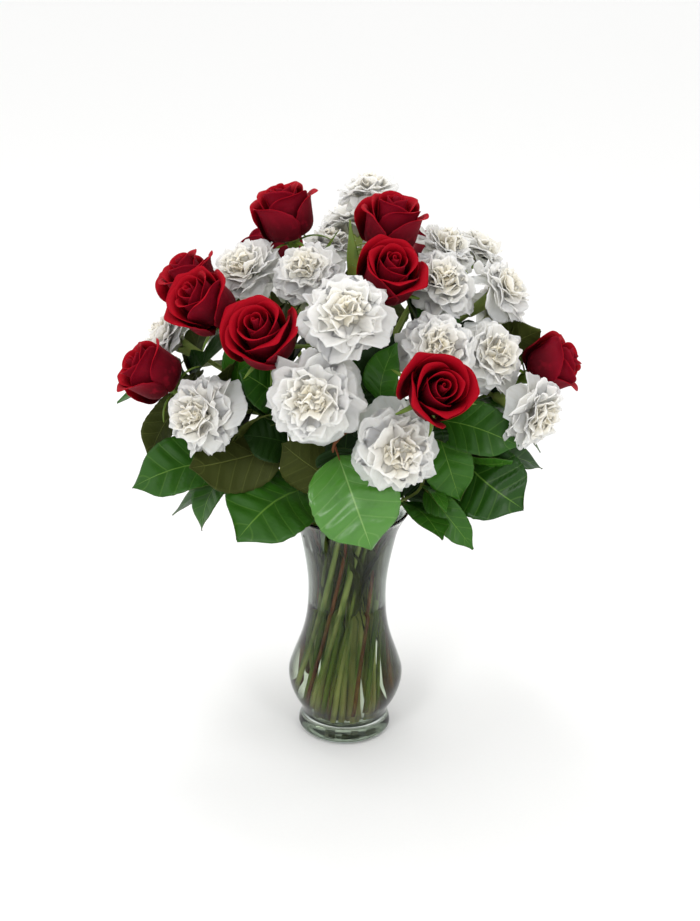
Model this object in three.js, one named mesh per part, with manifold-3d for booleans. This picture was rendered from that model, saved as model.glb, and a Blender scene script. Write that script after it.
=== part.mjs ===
// Red roses and white carnations with broad-leaved foliage in a clear glass vase of water.
// Millimetres, +Z up. The origin is the middle of the vase's flat underside, and -Y is the front.
// An azimuth is 0 at the front and grows towards +X. An elevation is 0 level and 90 straight up.
import * as THREE from 'three';
import { mergeVertices } from 'three/addons/utils/BufferGeometryUtils.js';
import Module from 'manifold-3d';

const wasm = await Module();
wasm.setup();

// ---------------------------------------------------------------- driving dimensions

const GAP = 0.3; // clearance between pieces that touch
const HOLE_GAP = 0.45; // round a stem in the water, wider because a bar's corners turn along it
const MERGE = 1e-4; // corners nearer than this are one
const SCRAP = 1; // cubic millimetres, below which a piece that joining leaves is dropped

// the blown vase: [radius, height] up its outside, from the foot to the lip
const VASE_OUTSIDE = [
  [39, 0], [42.6, 5], [39.7, 17], [42, 25], [47.6, 35.5], [51.4, 47], [52.4, 58.5], [49.4, 70],
  [40.6, 95.5], [36.4, 117], [35.3, 140], [36.6, 160], [41, 186], [45.6, 204.5], [54.8, 222],
];
const VASE_WALL = 3;
const VASE_FLOOR = { radius: 32, height: 14 }; // inside, above the thick glass foot
const WALL_FROM = 23; // height above which the inside follows the outside
const VASE_SIDES = 28;
const WATER_LEVEL = 128;
const HOLE_TOP = 133; // where a hole's cutter ends, above the water

// the stems lean against each other in the neck and fan out under water
const NECK = 150; // height at which the stems of a pair touch
const STRAIGHT_TO = 188; // above it a stem bends towards its flower
const RINGS = {
  // radius of a pair's middle at the neck, twist per mm of the outer and the inner stem,
  // and the height of their cut ends
  outer: { radius: 26.5, twist: [0.008, 0.0055], ends: [34, 22] },
  middle: { radius: 15.5, twist: [0.007, 0.004], ends: [17, 16.5] },
  centre: { radius: 5.5, twist: [0.005, -0.004], ends: [17.5, 16.8] },
};
const STICK_RING = { radius: 26.5, twist: 0.007, end: 30 };
const STEM = { sides: 5, rose: 2.6, carnation: 2.2, stick: 1.7 }; // radii of each kind
const LEAN = 0.36; // half the gap between a pair's middles, as a share of its two radii: they fuse
const PULL = 0.42; // how far a bend's handles reach, as a share of its span
const BEND_STEPS = [0.36, 0.7, 1]; // where along the bend a stem has its corners

// for each kind of flower: the width of the head that its petals are drawn for, the height of the
// head's middle above the petals' root, and the depth of its green cup below that root
const KINDS = {
  rose: { width: 60, middle: 24, cup: 9 },
  carnation: { width: 76, middle: 20, cup: 28 },
};

// each head: its middle, the way it faces (azimuth, elevation) and its width
const ROSES = [
  { at: [-59, 5, 487], facing: [-90, 75], size: 58 },
  { at: [30, -15, 486], facing: [60, 80], size: 58 },
  { at: [29, -68, 458], facing: [15, 50], size: 60 },
  { at: [-122, -68, 429], facing: [-50, 45], size: 60 },
  { at: [-139, 6, 427], facing: [-80, 60], size: 54 },
  { at: [-72, -105, 416], facing: [-20, 48], size: 62 },
  { at: [-169, -48, 361], facing: [-75, 35], size: 58 },
  { at: [66, -150, 388], facing: [15, 30], size: 62 },
  { at: [170, -25, 368], facing: [80, 30], size: 56 },
  { at: [-75, 95, 425], facing: [-150, 40], size: 58 },
  { at: [70, 112, 415], facing: [150, 38], size: 58 },
  { at: [5, 152, 350], facing: [180, 20], size: 58 },
];
const CARNATIONS = [
  { at: [12, 45, 496], facing: [180, 80], size: 58 },
  { at: [-90, -26, 446], facing: [-40, 50], size: 64 },
  { at: [-39, -52, 453], facing: [-15, 52], size: 60 },
  { at: [-5, -122, 439], facing: [0, 38], size: 76 },
  { at: [-30, -138, 375], facing: [-10, 15], size: 78 },
  { at: [37, -135, 332], facing: [15, 8], size: 76 },
  { at: [-122, -95, 343], facing: [-40, 12], size: 70 },
  { at: [72, -39, 443], facing: [30, 48], size: 66 },
  { at: [78, 16, 456], facing: [80, 60], size: 60 },
  { at: [126, -10, 429], facing: [75, 40], size: 60 },
  { at: [68, -97, 404], facing: [15, 32], size: 68 },
  { at: [115, -62, 388], facing: [40, 28], size: 66 },
  { at: [152, -75, 342], facing: [50, -8], size: 66 },
  { at: [-159, 4, 375], facing: [-90, 30], size: 60 },
  { at: [-22, 37, 450], facing: [180, 76], size: 56 },
  { at: [107, 63, 442], facing: [120, 50], size: 60 },
  { at: [-125, 86, 375], facing: [-130, 25], size: 66 },
  { at: [0, 96, 455], facing: [180, 50], size: 66 },
  { at: [132, 72, 380], facing: [120, 25], size: 66 },
  { at: [-60, 142, 365], facing: [-160, 20], size: 66 },
];

// pairs of flower stems: their place in the neck, and the flowers of the outer and inner stem
const PAIRS = [
  { ring: 'outer', azimuth: -18, flowers: ['c5', 'r6'] },
  { ring: 'outer', azimuth: 18, flowers: ['c6', 'r8'] },
  { ring: 'outer', azimuth: 90, flowers: ['r9', 'c10'] },
  { ring: 'outer', azimuth: 162, flowers: ['r12', 'r11'] },
  { ring: 'outer', azimuth: -162, flowers: ['c20', 'r10'] },
  { ring: 'outer', azimuth: -90, flowers: ['r7', 'c14'] },
  { ring: 'middle', azimuth: 0, flowers: ['c4', 'r3'] },
  { ring: 'middle', azimuth: 40, flowers: ['c11', 'c8'] },
  { ring: 'middle', azimuth: 80, flowers: ['c13', 'c12'] },
  { ring: 'middle', azimuth: 130, flowers: ['c19', 'c16'] },
  { ring: 'middle', azimuth: -155, flowers: ['c17', 'c18'] },
  { ring: 'middle', azimuth: -100, flowers: ['r5', 'c2'] },
  { ring: 'middle', azimuth: -50, flowers: ['c7', 'r4'] },
  { ring: 'centre', azimuth: 80, flowers: ['c9', 'r2'] },
  { ring: 'centre', azimuth: 165, flowers: ['c1', 'c15'] },
  { ring: 'centre', azimuth: -65, flowers: ['c3', 'r1'] },
];
const NECK_TURN = 20; // degrees that the twist turns a stem between the neck and the bend
const LEAF_SEAT = 3; // below a stem's step, where its leaf's stalk starts

// a leaf's shape: rows at shares of its length, half-widths there as shares of its width, the
// thickness of each row, and how far its stalk is sunk in the stick
const LEAF = {
  sunk: 1.5,
  stalk: 0.9,
  stations: [0.12, 0.28, 0.5, 0.76, 1],
  halves: [0.42, 0.5, 0.34, 0],
  thickness: [0, 2, 1.3, 1.2, 1.1, 0],
  arch: 0.1,
  fold: 0.12,
  ripple: 0.03,
};

// narrow leaves on flower stems: the flower's stem, the leaf's tip and its width
const STEM_LEAVES = [
  { flower: 'r8', tip: [26, -100, 402], width: 16 },
  { flower: 'r1', tip: [-20, -6, 476], width: 14 },
  { flower: 'r2', tip: [-6, -22, 486], width: 13 },
];

// leafy sprays: azimuth in the neck, the stick's route above the lip, and its leaves as
// [step of the route that it grows from, tip, width, degrees that the blade is turned over]
const SPRAYS = [
  {
    azimuth: 0,
    route: [[-2, -44, 228], [-4, -72, 272], [-13, -100, 322], [28, -78, 345]],
    leaves: [
      [2, [20, -138, 245], 74], [1, [-58, -86, 316], 44, 180], [3, [32, -108, 410], 32, 54],
      [3, [-15, -72, 390], 40, -17],
    ],
  },
  {
    azimuth: 36,
    route: [[27, -38, 228], [46, -58, 254], [62, -68, 276], [70, -52, 330]],
    leaves: [
      [1, [78, -118, 248], 38, 10], [2, [105, -98, 229], 26, -40], [3, [92, -88, 268], 44, -60],
      [3, [-2, -67, 343], 28, -45], [3, [137, -91, 321], 44, -57], [2, [81, -104, 266], 15],
    ],
  },
  {
    azimuth: 72,
    route: [[43, -13, 228], [70, -31, 260], [96, -41, 291], [98, -30, 339]],
    leaves: [
      [2, [146, -85, 261], 66, -60], [3, [135, -57, 332], 40], [2, [136, -71, 296], 38, 215],
      [2, [166, -38, 282], 36],
    ],
  },
  {
    azimuth: 108,
    route: [[44, 14, 228], [88, 20, 270], [118, 14, 306], [110, 4, 352]],
    leaves: [
      [2, [182, 40, 292], 44], [2, [168, -10, 286], 30], [1, [146, 62, 252], 50],
      [3, [160, -12, 396], 40], [3, [50, -47, 423], 41, -6],
    ],
  },
  {
    azimuth: 144,
    route: [[30, 36, 228], [56, 70, 268], [72, 90, 306], [60, 78, 350]],
    leaves: [
      [2, [108, 168, 298], 50], [2, [146, 104, 318], 46], [1, [104, 110, 240], 46],
      [3, [102, 98, 405], 40, -2],
    ],
  },
  {
    azimuth: 180,
    route: [[0, 47, 227], [0, 85, 267], [10, 102, 305], [6, 83, 356]],
    leaves: [
      [2, [-12, 184, 284], 50], [1, [52, 130, 256], 44], [1, [-46, 124, 248], 44],
      [3, [30, 112, 410], 44],
    ],
  },
  {
    azimuth: -144,
    route: [[-30, 36, 228], [-58, 70, 268], [-74, 90, 306], [-60, 74, 350]],
    leaves: [
      [2, [-112, 164, 300], 50], [2, [-148, 104, 316], 46], [1, [-106, 106, 240], 46],
      [3, [-100, 70, 404], 44],
    ],
  },
  {
    azimuth: -108,
    route: [[-44, 12, 228], [-86, 20, 268], [-120, 14, 306], [-138, 2, 332]],
    leaves: [
      [3, [-177, -25, 275], 42, -60], [3, [-205, 2, 317], 30], [1, [-146, 56, 258], 46],
      [3, [-156, 15, 353], 30, 21],
    ],
  },
  {
    azimuth: -72,
    route: [[-43, -14, 228], [-72, -28, 258], [-98, -40, 280], [-96, -32, 330]],
    leaves: [
      [2, [-184, -68, 268], 60, 25], [2, [-127, -75, 231], 38], [1, [-157, -26, 226], 34],
      [3, [-102, -58, 376], 50, 50], [3, [-72, -54, 429], 29, -39],
    ],
  },
  {
    azimuth: -36,
    route: [[-26, -38, 228], [-34, -56, 266], [-50, -62, 308], [-56, -48, 340]],
    leaves: [
      [1, [-91, -125, 247], 80, 20], [2, [-133, -105, 297], 56, 215], [3, [-90, -74, 374], 46],
      [3, [-47, -56, 427], 35, 43],
    ],
  },
];

// ---------------------------------------------------------------- materials

const GLASS = new THREE.MeshStandardMaterial({ color: 0xdfe8e6, roughness: 0.05, metalness: 0 });
const WATER = new THREE.MeshStandardMaterial({ color: 0xc9d6cf, roughness: 0.05, metalness: 0 });
const RED = new THREE.MeshStandardMaterial({ color: 0x8e0b17, roughness: 0.75, metalness: 0 });
const WHITE = new THREE.MeshStandardMaterial({ color: 0xf0ede4, roughness: 0.7, metalness: 0 });
const STEM_GREEN = new THREE.MeshStandardMaterial({ color: 0x5f7f3a, roughness: 0.6, metalness: 0 });
const LEAF_GREEN = new THREE.MeshStandardMaterial({ color: 0x2f6b22, roughness: 0.4, metalness: 0 });

// ---------------------------------------------------------------- solids

const Z = new THREE.Vector3(0, 0, 1);
const vec = ([x, y, z]) => new THREE.Vector3(x, y, z);
const radians = THREE.MathUtils.degToRad;

// A level unit vector at an azimuth.
function outward(azimuth) {
  return new THREE.Vector3(Math.sin(radians(azimuth)), -Math.cos(radians(azimuth)), 0);
}

// The unit vector at an azimuth and an elevation.
function direction([azimuth, elevation]) {
  return outward(azimuth).multiplyScalar(Math.cos(radians(elevation)))
    .addScaledVector(Z, Math.sin(radians(elevation)));
}

// A repeatable source of numbers from 0 to 1.
function seeded(seed) {
  let state = seed * 7919 + 17;
  return () => {
    state = (state * 16807) % 2147483647;
    return state / 2147483647;
  };
}

// Turns a closed geometry into a solid with shared corners and its faces outward.
function solid(geometry) {
  const bare = new THREE.BufferGeometry();
  bare.setAttribute('position', geometry.getAttribute('position'));
  bare.setIndex(geometry.getIndex());
  const merged = mergeVertices(bare, MERGE);
  const places = merged.getAttribute('position').array;
  const corners = merged.getIndex().array;
  const faces = [];
  let volume = 0;
  for (let i = 0; i < corners.length; i += 3) {
    const [a, b, c] = corners.slice(i, i + 3);
    if (a === b || b === c || c === a) continue;
    faces.push(a, b, c);
    const [p, q, r] = [a, b, c].map((k) => new THREE.Vector3().fromArray(places, 3 * k));
    volume += p.dot(q.cross(r));
  }
  if (volume < 0) faces.reverse();
  const mesh = new wasm.Mesh({
    numProp: 3,
    vertProperties: new Float32Array(places),
    triVerts: new Uint32Array(faces),
  });
  return new wasm.Manifold(mesh);
}

// Joins solids into one, and drops the scraps that joining leaves.
function join(solids) {
  const pieces = solids.reduce((whole, next) => whole.add(next)).decompose();
  return pieces.filter((piece) => piece.volume() > SCRAP).reduce((whole, next) => whole.add(next));
}

// The geometry of a solid.
function geometryOf(body) {
  const { vertProperties, triVerts } = body.getMesh();
  const geometry = new THREE.BufferGeometry();
  geometry.setAttribute('position', new THREE.BufferAttribute(vertProperties, 3));
  geometry.setIndex(new THREE.BufferAttribute(triVerts, 1));
  return geometry;
}

// A geometry from points and faces.
function patch(points, faces) {
  const geometry = new THREE.BufferGeometry().setFromPoints(points);
  geometry.setIndex(faces);
  return geometry;
}

// A geometry turned about +Z from an outline of [radius, height] that starts and ends on the axis.
function turned(outline, sides) {
  const points = outline.map(([radius, height]) => new THREE.Vector2(radius, height));
  return new THREE.LatheGeometry(points, sides).rotateX(Math.PI / 2);
}

// A smooth route whose steps fall on its points.
class Route extends THREE.CatmullRomCurve3 {
  getUtoTmapping(u) {
    return u;
  }
}

// A round bar through points.
function bar(points, radius) {
  const section = new THREE.Shape(ring(STEM.sides, radius, 0));
  return new THREE.ExtrudeGeometry(section, {
    steps: points.length - 1,
    bevelEnabled: false,
    extrudePath: new Route(points),
  });
}

// A thin blade on a grid of points. Both faces share its edge and are split alike.
function blade(rows, thickness) {
  const [high, wide] = [rows.length, rows[0].length];
  const points = [];
  const front = rows.map((row) => row.map((p) => points.push(p) - 1));
  const back = front.map((row) => [...row]);
  for (let i = 1; i < high - 1; i += 1) {
    for (let j = 1; j < wide - 1; j += 1) {
      const along = rows[i + 1][j].clone().sub(rows[i - 1][j]);
      const across = rows[i][j + 1].clone().sub(rows[i][j - 1]);
      const half = along.cross(across).setLength(thickness[i] / 2);
      back[i][j] = points.push(rows[i][j].clone().sub(half)) - 1;
      points[front[i][j]] = rows[i][j].clone().add(half);
    }
  }
  const faces = [];
  for (let i = 0; i < high - 1; i += 1) {
    for (let j = 0; j < wide - 1; j += 1) {
      const rising = (i < (high - 1) / 2) === (j < (wide - 1) / 2);
      for (const [side, flip] of [[front, false], [back, true]]) {
        const [a, b, c, d] = [side[i][j], side[i + 1][j], side[i + 1][j + 1], side[i][j + 1]];
        const split = rising ? [[a, b, c], [a, c, d]] : [[a, b, d], [b, c, d]];
        for (const face of split) faces.push(...(flip ? face.reverse() : face));
      }
    }
  }
  return patch(points, faces);
}

// A ring of evenly spaced points round the +Z axis.
function ring(count, radius, height, turn = 0) {
  return Array.from({ length: count }, (_, k) => {
    const angle = turn + (2 * Math.PI * k) / count;
    return new THREE.Vector3(radius * Math.cos(angle), radius * Math.sin(angle), height);
  });
}

// A closed skin over rings round the +Z axis, in order. Neighbours may differ in their number of
// points, and the first and last rings are single points on the axis.
function loft(rings) {
  const points = [];
  const faces = [];
  const around = (p) => (Math.atan2(p.y, p.x) + 2 * Math.PI) % (2 * Math.PI);
  const indexed = rings.map((list) => [...list].sort((p, q) => around(p) - around(q))
    .map((p) => ({ index: points.push(p) - 1, angle: around(p) })));
  for (let k = 0; k < indexed.length - 1; k += 1) {
    const [low, high] = [indexed[k], indexed[k + 1]];
    const angle = (list, i) => list[i % list.length].angle + 2 * Math.PI * Math.floor(i / list.length);
    let [i, j] = [0, 0];
    while (i < low.length || j < high.length) {
      const [p, q] = [low[i % low.length].index, high[j % high.length].index];
      const lowNext = i < low.length && (j >= high.length || angle(low, i + 1) < angle(high, j + 1));
      if (lowNext) i += 1;
      else j += 1;
      const r = lowNext ? low[i % low.length].index : high[j % high.length].index;
      faces.push(p, r, q);
    }
  }
  return patch(points, faces);
}

// ---------------------------------------------------------------- vase and water

// The vase's inner outline from the middle of its floor to the lip, drawn in by a clearance.
function insideOutline(clearance) {
  const wall = VASE_OUTSIDE.filter(([, height]) => height > WALL_FROM)
    .map(([radius, height]) => [radius - VASE_WALL - clearance, height]);
  return [
    [0, VASE_FLOOR.height + clearance],
    [VASE_FLOOR.radius - clearance, VASE_FLOOR.height + clearance],
    ...wall,
  ];
}

// The glass body, whose walls and foot are one closed skin.
function makeVase() {
  return solid(turned([[0, 0], ...VASE_OUTSIDE, ...insideOutline(0).reverse()], VASE_SIDES));
}

const holes = []; // cutters of the stems' holes in the water, which the stems add as they are made

// Water up to its level, with a plain hole for each stem.
function makeWater() {
  const walls = insideOutline(GAP);
  const below = walls.filter(([, height]) => height < WATER_LEVEL);
  const [low, high] = [below[below.length - 1], walls[below.length]];
  const share = (WATER_LEVEL - low[1]) / (high[1] - low[1]);
  const rim = low[0] + share * (high[0] - low[0]);
  const body = solid(turned([...below, [rim, WATER_LEVEL], [0, WATER_LEVEL]], VASE_SIDES));
  return holes.reduce((whole, hole) => whole.subtract(hole), body);
}

// ---------------------------------------------------------------- flowers

// Places a flower drawn round +Z, with its petals' root at the origin.
function flowerFrame(flower) {
  const axis = direction(flower.facing);
  const turn = new THREE.Quaternion().setFromUnitVectors(Z, axis);
  const root = vec(flower.at).addScaledVector(axis, -flower.middle * flower.scale);
  const size = new THREE.Vector3(1, 1, 1).multiplyScalar(flower.scale);
  return new THREE.Matrix4().compose(root, turn, size);
}

// The frilled edge of one whorl: notches between the petals and waved teeth across each. The notch
// and the teeth are shares of the whorl's radius.
function frill({ radius, height, root, petals, teeth, wave }, random) {
  const notch = 0.72;
  const tip = { least: 0.9, spread: 0.06, tooth: 0.07 };
  const turn = 2 * Math.PI * random();
  return Array.from({ length: petals * teeth }, (_, k) => {
    const tooth = k % teeth;
    const angle = turn + (2 * Math.PI * k) / (petals * teeth);
    const share = tooth === 0 ? notch : tip.least + tip.spread * random() + tip.tooth * (tooth % 2);
    const reach = radius * share;
    const rise = ((height - root) * reach) / radius;
    const ripple = tooth === 0 ? 0 : wave * (tooth % 2 ? 1 : -1) * (0.6 + 0.4 * random());
    const z = root + rise + ripple;
    return new THREE.Vector3(reach * Math.cos(angle), reach * Math.sin(angle), z);
  });
}

// A carnation: whorls of frilled petals, each one steeper and narrower than the one below it.
function makeCarnation(flower, seed) {
  const random = seeded(seed);
  const whorls = [
    { root: 6, radius: 37, height: 7, petals: 6, teeth: 5, wave: 2.4, inside: ring(6, 6, 9) },
    { root: 9, radius: 35, height: 19, petals: 5, teeth: 5, wave: 2.8, inside: ring(5, 6, 13) },
    { root: 13, radius: 27, height: 31, petals: 4, teeth: 5, wave: 2.4, inside: ring(4, 5, 19) },
    { root: 19, radius: 15, height: 39, petals: 3, teeth: 5, wave: 1.8, inside: ring(1, 0, 31) },
  ];
  const skin = whorls.flatMap((whorl) => [frill(whorl, random), whorl.inside]);
  const neck = [ring(1, 0, GAP), ring(6, 7, GAP)];
  return solid(loft([...neck, ...skin])).transform(flowerFrame(flower).elements);
}

// A ring of overlapping petals: each one starts inside its neighbour and ends outside it. The step
// between them is a share of the radius, and the lift raises the middle of each petal.
function overlap([radius, height], { petals, points, turn }, lift) {
  const step = 0.14;
  return Array.from({ length: petals * points }, (_, k) => {
    const along = (k % points) / (points - 1); // across one petal, 0 to 1
    const angle = turn + (2 * Math.PI * k) / (petals * points);
    const reach = radius * (1 + step * (along - 0.5));
    const z = height + lift * Math.sin(Math.PI * (0.15 + 0.7 * along));
    return new THREE.Vector3(reach * Math.cos(angle), reach * Math.sin(angle), z);
  });
}

// A rose: cups of overlapping petals with bellied outsides and lifted tips, round a closed bud.
function makeRose(flower, seed) {
  const random = seeded(seed);
  const cups = [
    { belly: [25.5, 14], edge: [28.5, 29], lift: 7, petals: 5, points: 4, inside: ring(5, 8, 9) },
    { belly: [17.5, 21], edge: [18.5, 40], lift: 6, petals: 4, points: 4, inside: ring(4, 6.5, 15) },
    { belly: [10.5, 28], edge: [11, 44], lift: 4, petals: 3, points: 4, inside: ring(4, 5.5, 39) },
  ];
  const skin = cups.flatMap((cup) => {
    const petals = { ...cup, turn: 2 * Math.PI * random() };
    return [overlap(cup.belly, petals, 0), overlap(cup.edge, petals, cup.lift), cup.inside];
  });
  const neck = [ring(1, 0, GAP), ring(6, 5.5, GAP)];
  return solid(loft([...neck, ...skin, ring(1, 0, 47)])).transform(flowerFrame(flower).elements);
}

// The green cup under a carnation.
function carnationCup(flower) {
  const cup = loft([ring(1, 0, -31), ring(6, 5.2, -25), ring(6, 7.6, 0), ring(1, 0, 0)]);
  return solid(cup).transform(flowerFrame(flower).elements);
}

// The hip under a rose, with five sepals that hook outwards from its rim.
function roseCup(flower) {
  const star = [0, 1, 2, 3, 4].flatMap((k) => {
    const turn = (2 * Math.PI * k) / 5;
    return [...ring(1, 18, -8, turn), ...ring(1, 5.5, -2.5, turn + Math.PI / 5)];
  });
  const hip = loft([ring(1, 0, -11), ring(5, 4.6, -6), star, ring(5, 6, 0), ring(1, 0, 0)]);
  return solid(hip).transform(flowerFrame(flower).elements);
}

// ---------------------------------------------------------------- stems

// The straight line of a stem in the vase, as a function of height.
function vaseLine(radius, azimuth, twist) {
  const start = outward(azimuth - NECK_TURN).multiplyScalar(radius);
  const slide = outward(azimuth - NECK_TURN + 90).multiplyScalar(radius * twist);
  return (height) => start.clone().addScaledVector(slide, height - NECK).setZ(height);
}

// A smooth bend from the end of a straight line to a flower's root.
function bend(line, flower) {
  const from = line(STRAIGHT_TO);
  const leave = from.clone().sub(line(NECK)).normalize();
  const axis = direction(flower.facing);
  const to = new THREE.Vector3(0, 0, -flower.cup).applyMatrix4(flowerFrame(flower));
  const pull = PULL * from.distanceTo(to);
  const curve = new THREE.CubicBezierCurve3(
    from, from.clone().addScaledVector(leave, pull), to.clone().addScaledVector(axis, -pull), to,
  );
  return BEND_STEPS.map((t) => curve.getPoint(t));
}

// The straight part of a stem or stick, and its hole in the water.
function rooted(line, radius, end) {
  holes.push(solid(bar([line(end - HOLE_GAP), line(HOLE_TOP)], radius + HOLE_GAP)));
  return [line(end), line(STRAIGHT_TO)];
}

// A leaf with its stalk, an arched blade folded along its rib. It grows from a stem's step, and a
// turn rolls its blade about its length.
function leaf(points, step, tip, width, turn = 0) {
  const [seat, before] = [points[step], points[step - 1]];
  const base = seat.clone().add(before.clone().sub(seat).setLength(LEAF_SEAT));
  const along = tip.clone().sub(base);
  const outside = new THREE.Vector3(tip.x, tip.y, 0).normalize().addScaledVector(Z, 0.9);
  const axis = along.clone().normalize();
  const side = axis.clone().cross(outside).normalize().applyAxisAngle(axis, -radians(turn));
  const face = side.clone().cross(axis);
  const stations = [-LEAF.sunk / along.length(), ...LEAF.stations];
  const halves = [LEAF.stalk, LEAF.stalk, ...LEAF.halves.map((share) => share * width)];
  const arch = LEAF.arch * along.length();
  const rows = stations.map((u, i) => [-1, 0, 1].map((s) => {
    const edge = s === 0 ? 0 : LEAF.fold * halves[i] + LEAF.ripple * width * (i % 2 ? s : -s);
    const lift = arch * Math.sin(Math.PI * u) + edge;
    return base.clone().addScaledVector(along, u).addScaledVector(side, s * halves[i])
      .addScaledVector(face, lift);
  }));
  return solid(blade(rows, LEAF.thickness));
}

const cups = { rose: roseCup, carnation: carnationCup };

// Two flower stems that lean against each other in the neck.
function makePair(pair, flowers) {
  const ring = RINGS[pair.ring];
  const picked = pair.flowers.map((name) => flowers[name]);
  const reach = LEAN * (STEM[picked[0].kind] + STEM[picked[1].kind]);
  const parts = picked.flatMap((flower, i) => {
    const radius = ring.radius + (i === 0 ? reach : -reach);
    const line = vaseLine(radius, pair.azimuth, ring.twist[i]);
    const points = [...rooted(line, STEM[flower.kind], ring.ends[i]), ...bend(line, flower)];
    const blades = STEM_LEAVES.filter((entry) => entry.flower === pair.flowers[i])
      .map((entry) => leaf(points, points.length - 2, vec(entry.tip), entry.width));
    return [solid(bar(points, STEM[flower.kind])), cups[flower.kind](flower), ...blades];
  });
  return join(parts);
}

function makeSpray({ azimuth, route, leaves }) {
  const line = vaseLine(STICK_RING.radius, azimuth, STICK_RING.twist);
  const points = [...rooted(line, STEM.stick, STICK_RING.end), ...route.map(vec)];
  const first = points.length - route.length;
  const blades = leaves.map(([step, tip, width, turn]) => {
    return leaf(points, first + step, vec(tip), width, turn);
  });
  return join([solid(bar(points, STEM.stick)), ...blades]);
}

// ---------------------------------------------------------------- the object

const bouquet = new THREE.Group();

function add(name, body, material) {
  const mesh = new THREE.Mesh(geometryOf(body), material);
  mesh.name = name;
  bouquet.add(mesh);
}

const numbered = (name, k) => `${name}_${String(k + 1).padStart(2, '0')}`;

// every head by its short name, such as r1 or c20, with its scale and its kind's measures
const flowers = {};
for (const [kind, heads] of Object.entries({ rose: ROSES, carnation: CARNATIONS })) {
  heads.forEach((head, k) => {
    const scale = head.size / KINDS[kind].width;
    flowers[`${kind[0]}${k + 1}`] = { ...KINDS[kind], ...head, kind, scale };
  });
}

PAIRS.forEach((pair, k) => add(numbered('flower_stems', k), makePair(pair, flowers), STEM_GREEN));
SPRAYS.forEach((spray, k) => add(numbered('leafy_spray', k), makeSpray(spray), LEAF_GREEN));
ROSES.forEach((rose, k) => {
  add(numbered('rose_bloom', k), makeRose(flowers[`r${k + 1}`], k + 1), RED);
});
CARNATIONS.forEach((carnation, k) => {
  add(numbered('carnation_bloom', k), makeCarnation(flowers[`c${k + 1}`], k + 21), WHITE);
});
add('vase', makeVase(), GLASS);
add('water', makeWater(), WATER);

export default bouquet;
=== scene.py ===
"""White carnations and red roses with broad-leaved foliage in a waisted clear glass vase of water.

The tables repeat the part's own, in millimetres, and MM turns them to the metres of the frame. Only
here are how far each rose has opened, the leaves deep inside, which are dark with painted shade, and
the ones in the vase.
An azimuth is 0 at the front, which is -Y, and grows towards +X. An elevation is 0 when level.
"""

import math
import random

import bmesh
import bpy
from mathutils import Matrix, Vector
from mathutils.geometry import interpolate_bezier


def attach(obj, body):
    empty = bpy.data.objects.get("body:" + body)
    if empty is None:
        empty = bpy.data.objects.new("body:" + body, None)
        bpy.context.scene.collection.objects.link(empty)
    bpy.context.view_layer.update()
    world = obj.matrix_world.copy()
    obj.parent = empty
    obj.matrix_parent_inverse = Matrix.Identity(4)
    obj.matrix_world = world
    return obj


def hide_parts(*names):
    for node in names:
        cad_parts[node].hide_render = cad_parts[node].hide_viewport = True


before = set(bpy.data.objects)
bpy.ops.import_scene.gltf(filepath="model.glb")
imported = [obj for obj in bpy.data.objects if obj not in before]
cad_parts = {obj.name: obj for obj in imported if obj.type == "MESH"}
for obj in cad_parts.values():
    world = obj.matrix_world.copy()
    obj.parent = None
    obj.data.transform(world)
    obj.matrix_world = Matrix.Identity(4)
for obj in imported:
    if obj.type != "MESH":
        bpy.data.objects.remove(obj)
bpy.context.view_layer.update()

MM = 0.001
Z = Vector((0, 0, 1))
# the turn from one petal of a flower to the next
GOLDEN_ANGLE = math.radians(137.5)
# where the random numbers of each kind of piece start
CARNATION_SEED, ROSE_SEED, STEM_SEED, SPRAY_SEED = 100, 500, 900, 1300

# ---------------------------------------------------------------- the part's own sizes and places

# radius and height up the outside of the vase, from its foot to its lip
VASE_OUTSIDE = [
    (39, 0), (42.6, 5), (39.7, 17), (42, 25), (47.6, 35.5), (51.4, 47), (52.4, 58.5), (49.4, 70),
    (40.6, 95.5), (36.4, 117), (35.3, 140), (36.6, 160), (41, 186), (45.6, 204.5), (54.8, 222),
]
VASE_WALL = 3
# the inside follows the outside above this height, and ends in a floor over the thick foot
VASE_WALL_FROM = 23
VASE_FLOOR_RADIUS = 32
VASE_FLOOR = 14
# steps round the vase and its water, round a carnation's cup and round a rose's hip
VASE_STEPS, CUP_STEPS, HIP_STEPS = 96, 20, 18
WATER_LEVEL = 128
# how far the water's wall lies inside the glass
WATER_OVERLAP = 0.4

# the height at which a pair's stems touch, and the one above which they bend to their flowers
NECK = 150
STRAIGHT_TO = 188
# degrees that the twist turns a stem between the two
NECK_TURN = 20
# how far each stem of a pair stands from their middle, as a share of their added radii
LEAN = 0.36
# how far a bend's handles reach, as a share of its span
PULL = 0.42
# the rings of pairs: radius at the neck, twist per mm of the outer and the inner stem, height of
# their cut ends, and then the same for the ring of sticks
RINGS = {
    "outer": (26.5, (0.008, 0.0055), (34, 22)),
    "middle": (15.5, (0.007, 0.004), (17, 16.5)),
    "centre": (5.5, (0.005, -0.004), (17.5, 16.8)),
}
STICK_RADIUS, STICK_TWIST, STICK_END = 26.5, 0.007, 30
# radius of each kind of stem, and of a leaf's stalk from its foot to the blade
ROSE_STEM, CARNATION_STEM, STICK = 2.6, 2.2, 1.7
STALK = (1.1, 0.95, 0.6)
# how far below a stick's step a leaf's stalk starts
LEAF_SEAT = 3
# points along a stem's straight part and along its bend, and stretches between a stick's steps
STRAIGHT_POINTS, BEND_POINTS, STICK_PARTS = 8, 18, 6
# how round each kind of stem is drawn
STEM_ROUNDING, STICK_ROUNDING, STALK_ROUNDING = 3, 2, 1
# how much a carnation's stem swells at its joints, as a share of its radius
KNOT_SWELL = 0.28

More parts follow.
